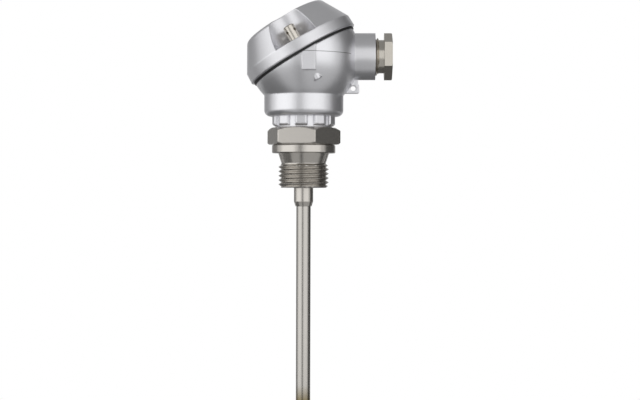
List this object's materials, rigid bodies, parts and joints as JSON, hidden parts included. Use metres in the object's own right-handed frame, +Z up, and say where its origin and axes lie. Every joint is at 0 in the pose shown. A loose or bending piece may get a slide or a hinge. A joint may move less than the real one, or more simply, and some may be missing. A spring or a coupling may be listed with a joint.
{
  "type": "screw-in resistance thermometer with connection head",
  "caption": "Screw-in temperature probe: thin steel stem, threaded fitting with hexagon, and a small round connection head with a slanted screwed lid and a side cable gland.",
  "frame": {"origin": "where the stem's axis meets the sealing face of the fitting's collar", "axes": "+Z up along the stem's axis to the head, +X out of the cable entry, -Y towards the front"},
  "size_m": [0.0602, 0.049, 0.1667],
  "materials": {
    "cast_paint": "silver stove enamel on die-cast aluminium",
    "rubber_black": "moulded rubber",
    "nickel": "nickel-plated brass",
    "stainless": "turned stainless steel",
    "spring_steel": "spring steel",
    "brass": "milled brass",
    "steatite": "fired steatite",
    "fibre": "vulcanised fibre",
    "resin": "casting resin in a steel cup",
    "lead_red": "red fluoropolymer insulation",
    "lead_white": "white fluoropolymer insulation"
  },
  "bodies": {
    "probe": {"head_housing": "cast_paint", "process_fitting": "stainless", "protection_tube": "stainless", "tube_tip": "stainless", "sensor_insert": "stainless", "neck_seal": "fibre", "gland_seal": "rubber_black", "insert_flange": "stainless", "lead_cup": "resin", "terminal_block": "steatite", "block_screw_left": "nickel", "block_screw_right": "nickel", "lock_washer_left": "spring_steel", "lock_washer_right": "spring_steel", "terminal_1": "brass", "terminal_2": "brass", "terminal_3": "brass", "terminal_4": "brass", "lead_red_1": "lead_red", "lead_white_2": "lead_white", "lead_red_3": "lead_red", "lead_white_4": "lead_white"},
    "lid": {"head_lid": "cast_paint", "lid_gasket": "rubber_black"},
    "front_ring": {"retaining_ring_front": "spring_steel"},
    "front_screw": {"lid_screw_front": "nickel"},
    "rear_ring": {"retaining_ring_rear": "spring_steel"},
    "rear_screw": {"lid_screw_rear": "nickel"},
    "thrust_washer": {"gland_washer": "stainless"},
    "gland": {"gland_screw": "nickel"},
    "saddle_1": {"terminal_saddle_1": "nickel"},
    "clamp_screw_1": {"terminal_screw_1": "nickel"},
    "saddle_2": {"terminal_saddle_2": "nickel"},
    "clamp_screw_2": {"terminal_screw_2": "nickel"},
    "saddle_3": {"terminal_saddle_3": "nickel"},
    "clamp_screw_3": {"terminal_screw_3": "nickel"},
    "saddle_4": {"terminal_saddle_4": "nickel"},
    "clamp_screw_4": {"terminal_screw_4": "nickel"}
  },
  "joints": [
    {"name": "lid_lift", "type": "slide", "parent": "probe", "child": "lid", "axis": [-0.5, 0, 0.866], "range_m": [0, 0.04]},
    {"name": "front_screw_rise", "type": "slide", "parent": "lid", "child": "front_ring", "axis": [-0.5, 0, 0.866], "range_m": [0, 0.0014]},
    {"name": "front_screw_turn", "type": "hinge", "parent": "front_ring", "child": "front_screw", "pos_m": [0, -0.019, 0.0403], "axis": [-0.5, 0, 0.866], "range_deg": [0, 720]},
    {"name": "rear_screw_rise", "type": "slide", "parent": "lid", "child": "rear_ring", "axis": [-0.5, 0, 0.866], "range_m": [0, 0.0014]},
    {"name": "rear_screw_turn", "type": "hinge", "parent": "rear_ring", "child": "rear_screw", "pos_m": [0, 0.019, 0.0403], "axis": [-0.5, 0, 0.866], "range_deg": [0, 720]},
    {"name": "gland_travel", "type": "slide", "parent": "probe", "child": "thrust_washer", "axis": [1, 0, 0], "range_m": [0, 0.003]},
    {"name": "gland_turn", "type": "hinge", "parent": "thrust_washer", "child": "gland", "pos_m": [0.03, 0, 0.04015], "axis": [1, 0, 0], "range_deg": [0, 720]},
    {"name": "saddle_1_rise", "type": "slide", "parent": "probe", "child": "saddle_1", "axis": [0, 0, 1], "range_m": [0, 0.002]},
    {"name": "clamp_screw_1_turn", "type": "hinge", "parent": "saddle_1", "child": "clamp_screw_1", "pos_m": [-0.0046, -0.0074, 0.028], "axis": [0, 0, 1], "range_deg": [0, 1440]},
    {"name": "saddle_2_rise", "type": "slide", "parent": "probe", "child": "saddle_2", "axis": [0, 0, 1], "range_m": [0, 0.002]},
    {"name": "clamp_screw_2_turn", "type": "hinge", "parent": "saddle_2", "child": "clamp_screw_2", "pos_m": [0.0046, -0.0074, 0.028], "axis": [0, 0, 1], "range_deg": [0, 1440]},
    {"name": "saddle_3_rise", "type": "slide", "parent": "probe", "child": "saddle_3", "axis": [0, 0, 1], "range_m": [0, 0.002]},
    {"name": "clamp_screw_3_turn", "type": "hinge", "parent": "saddle_3", "child": "clamp_screw_3", "pos_m": [-0.0046, 0.0074, 0.028], "axis": [0, 0, 1], "range_deg": [0, 1440]},
    {"name": "saddle_4_rise", "type": "slide", "parent": "probe", "child": "saddle_4", "axis": [0, 0, 1], "range_m": [0, 0.002]},
    {"name": "clamp_screw_4_turn", "type": "hinge", "parent": "saddle_4", "child": "clamp_screw_4", "pos_m": [0.0046, 0.0074, 0.028], "axis": [0, 0, 1], "range_deg": [0, 1440]}
  ],
  "couplings": [
    {"joint": "front_screw_turn", "follows": "front_screw_rise", "rad_per_m": 8976},
    {"joint": "rear_screw_turn", "follows": "rear_screw_rise", "rad_per_m": 8976},
    {"joint": "gland_turn", "follows": "gland_travel", "rad_per_m": 4188.8},
    {"joint": "clamp_screw_1_turn", "follows": "saddle_1_rise", "rad_per_m": 12566},
    {"joint": "clamp_screw_2_turn", "follows": "saddle_2_rise", "rad_per_m": 12566},
    {"joint": "clamp_screw_3_turn", "follows": "saddle_3_rise", "rad_per_m": 12566},
    {"joint": "clamp_screw_4_turn", "follows": "saddle_4_rise", "rad_per_m": 12566}
  ]
}
